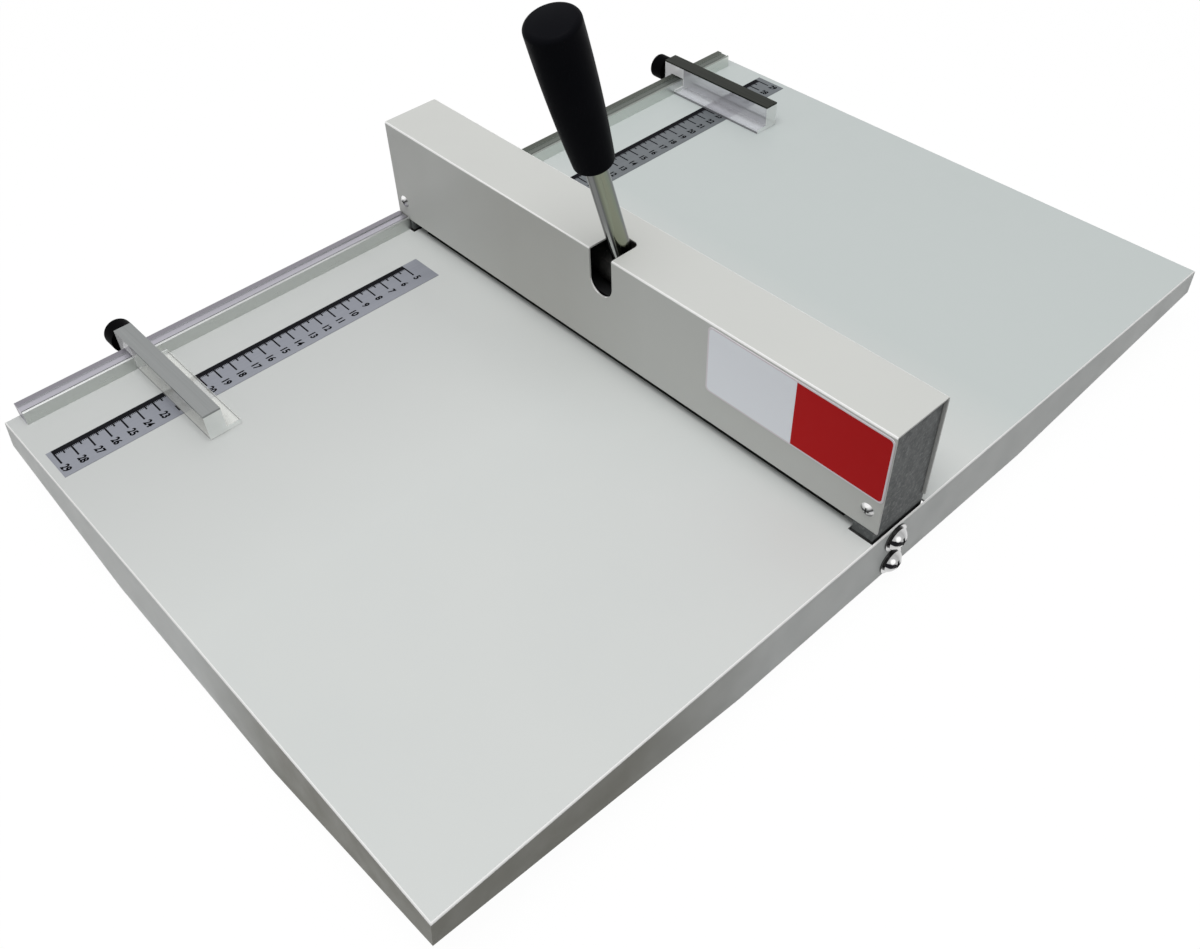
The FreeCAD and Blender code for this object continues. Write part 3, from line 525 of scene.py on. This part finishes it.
def add_number(bm, text, x, y, z, size):
    """A printed number, bold by drawing it twice, that reads from the operator's place."""
    bolder = 0.13
    apart = 0.14
    narrowing = 0.84
    curve = bpy.data.curves.new("number", "FONT")
    curve.body = text
    curve.size = size * MM
    curve.align_x = "LEFT"
    curve.align_y = "CENTER"
    curve.extrude = 0.01 * MM
    curve.offset = bolder * MM
    holder = bpy.data.objects.new("number", curve)
    for aside in (-apart, apart):
        mesh = bpy.data.meshes.new_from_object(holder)
        place = Matrix.Translation(at(x + aside, y + aside, z))
        mesh.transform(place @ Matrix.Diagonal((narrowing, 1.0, 1.0, 1.0)))
        bm.from_mesh(mesh)
        bpy.data.meshes.remove(mesh)
    bpy.data.objects.remove(holder)
    bpy.data.curves.remove(curve)


def ruler_marks(name, plate, side, zero):
    """The dark band, the millimetre ticks and the centimetre numbers printed on one ruler.

    The marks count from a line that lies a little off the crease line."""
    low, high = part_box(plate)
    x0 = (low.x - LEFT) / MM
    near, far = sorted((abs(low.y), abs(high.y)))
    near, far = near / MM - zero, far / MM - zero
    top = (high.z - TABLE) / MM
    z0, z1 = top - 0.02, top + 0.03
    millimetre_tick, half_tick, centimetre_tick = (4.9, 0.45), (6.6, 0.95), (13.3, 1.05)
    band_start, band_end, tick_start, number_start = 0.1, 3.9, 3.4, 15.4
    number_height = 6.6
    bm = bmesh.new()
    first, last = 10 * math.ceil(near / 10 + 0.5), 10 * math.floor(far / 10)
    y0, y1 = sorted((side * (zero + first - 0.45), side * (zero + last + 0.45)))
    add_bar(bm, x0 + band_start, x0 + band_end, y0, y1, z0, z1)
    for step in range(first, last + 1):
        reach, thick = millimetre_tick
        if step % 5 == 0:
            reach, thick = half_tick
        if step % 10 == 0:
            reach, thick = centimetre_tick
        y = side * (zero + step)
        add_bar(bm, x0 + tick_start, x0 + reach, y - thick / 2, y + thick / 2, z0, z1)
    for number in range(first // 10, last // 10 + 1):
        y = side * (zero + number * 10)
        add_number(bm, str(number), x0 + number_start, y, top + 0.015, number_height)
    piece = add_mesh(name, bm, ink, "chassis")


ruler_marks("front_ruler_marks", "front_ruler", -1, 1.1)
ruler_marks("rear_ruler_marks", "rear_ruler", 1, -0.5)


def spring(name, node):
    """A coil spring of round wire with closed ends, in the space of its solid."""
    low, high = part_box(node)
    wire = 0.7 * MM
    turns = 6
    closed_turns = 0.75
    per_turn, around = 28, 8
    middle = (low + high) / 2
    mean = (high.x - low.x) / 2 - wire
    closed_rise = 1.2 * wire
    open_rise = high.z - low.z - 2 * wire - 2 * closed_rise
    bm = bmesh.new()
    rings = []
    for i in range(turns * per_turn + 1):
        turned = i / per_turn
        angle = 2 * math.pi * turned
        first = min(turned / closed_turns, 1.0)
        last = max((turned - turns + closed_turns) / closed_turns, 0.0)
        between = min(max((turned - closed_turns) / (turns - 2 * closed_turns), 0.0), 1.0)
        z = low.z + wire + closed_rise * (first + last) + open_rise * between
        outward = Vector((math.cos(angle), math.sin(angle), 0.0))
        centre = Vector((middle.x, middle.y, z)) + outward * mean
        ring = []
        for k in range(around):
            a = 2 * math.pi * k / around
            spoke = outward * math.cos(a) + Vector((0, 0, math.sin(a)))
            ring.append(bm.verts.new(centre + spoke * wire))
        rings.append(ring)
    for one, two in zip(rings, rings[1:]):
        for k in range(around):
            after = (k + 1) % around
            bm.faces.new((one[k], one[after], two[after], two[k]))
    bm.faces.new(rings[0])
    bm.faces.new(list(reversed(rings[-1])))
    bmesh.ops.recalc_face_normals(bm, faces=bm.faces)
    piece = add_mesh(name, bm, bright_steel, "chassis")
    for polygon in piece.data.polygons:
        polygon.use_smooth = True
    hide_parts(node)
    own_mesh(piece)


spring("open_side_coil", "open_side_spring")
spring("rail_side_coil", "rail_side_spring")


# Floor, world and lamps

def visible_or_lit(tree, seen, lit):
    """What the camera, mirrors and glass see, and what lights the object."""
    path = tree.nodes.new("ShaderNodeLightPath")
    first = tree.nodes.new("ShaderNodeMath")
    first.operation = "MAXIMUM"
    tree.links.new(path.outputs["Is Camera Ray"], first.inputs[0])
    tree.links.new(path.outputs["Is Glossy Ray"], first.inputs[1])
    second = tree.nodes.new("ShaderNodeMath")
    second.operation = "MAXIMUM"
    tree.links.new(first.outputs["Value"], second.inputs[0])
    tree.links.new(path.outputs["Is Transmission Ray"], second.inputs[1])
    mix = tree.nodes.new("ShaderNodeMixShader")
    tree.links.new(second.outputs["Value"], mix.inputs["Fac"])
    tree.links.new(lit, mix.inputs[1])
    tree.links.new(seen, mix.inputs[2])
    return mix.outputs["Shader"]


def make_floor():
    half_size = 12.0
    grey = 0.32
    glow_strength = 1.08
    glow_share = 0.90
    bm = bmesh.new()
    bmesh.ops.create_grid(bm, x_segments=1, y_segments=1, size=half_size)
    mesh = bpy.data.meshes.new("floor")
    bm.to_mesh(mesh)
    bm.free()
    floor = bpy.data.objects.new("floor", mesh)
    bpy.context.scene.collection.objects.link(floor)
    material = bpy.data.materials.new("floor_white")
    material.use_nodes = True
    tree = material.node_tree
    tree.nodes.clear()
    out = tree.nodes.new("ShaderNodeOutputMaterial")
    paint = tree.nodes.new("ShaderNodeBsdfDiffuse")
    paint.inputs["Color"].default_value = (grey, grey, grey, 1.0)
    glow = tree.nodes.new("ShaderNodeEmission")
    glow.inputs["Color"].default_value = (1.0, 1.0, 1.0, 1.0)
    glow.inputs["Strength"].default_value = glow_strength
    soft = tree.nodes.new("ShaderNodeMixShader")
    soft.inputs["Fac"].default_value = glow_share
    tree.links.new(paint.outputs["BSDF"], soft.inputs[1])
    tree.links.new(glow.outputs["Emission"], soft.inputs[2])
    tree.links.new(visible_or_lit(tree, soft.outputs["Shader"], paint.outputs["BSDF"]), out.inputs["Surface"])
    mesh.materials.append(material)


make_floor()


def make_world():
    below, above = 0.03, 0.70
    world = bpy.data.worlds.new("studio")
    bpy.context.scene.world = world
    world.use_nodes = True
    tree = world.node_tree
    tree.nodes.clear()
    out = tree.nodes.new("ShaderNodeOutputWorld")
    place = tree.nodes.new("ShaderNodeTexCoord")
    split = tree.nodes.new("ShaderNodeSeparateXYZ")
    tree.links.new(place.outputs["Generated"], split.inputs["Vector"])
    ramp = tree.nodes.new("ShaderNodeMapRange")
    ramp.inputs["From Min"].default_value = -0.05
    ramp.inputs["From Max"].default_value = 0.95
    ramp.inputs["To Min"].default_value = below
    ramp.inputs["To Max"].default_value = above
    tree.links.new(split.outputs["Z"], ramp.inputs["Value"])
    lit = tree.nodes.new("ShaderNodeBackground")
    lit.inputs["Color"].default_value = (1.0, 1.0, 1.0, 1.0)
    tree.links.new(ramp.outputs["Result"], lit.inputs["Strength"])
    seen = tree.nodes.new("ShaderNodeBackground")
    seen.inputs["Color"].default_value = (1.0, 1.0, 1.0, 1.0)
    surface = visible_or_lit(tree, seen.outputs["Background"], lit.outputs["Background"])
    tree.links.new(surface, out.inputs["Surface"])


make_world()


def area_lamp(name, spot, target, size, energy):
    data = bpy.data.lights.new(name, "AREA")
    data.shape = "DISK"
    data.size = size
    data.energy = energy
    lamp = bpy.data.objects.new(name, data)
    bpy.context.scene.collection.objects.link(lamp)
    lamp.location = spot
    lamp.rotation_euler = (Vector(target) - Vector(spot)).to_track_quat("-Z", "Y").to_euler()


area_lamp("key", (0.15, -0.35, 1.8), (0.0, 0.0, 0.04), 1.2, 18.0)

scene = bpy.context.scene
scene.view_settings.view_transform = "Standard"
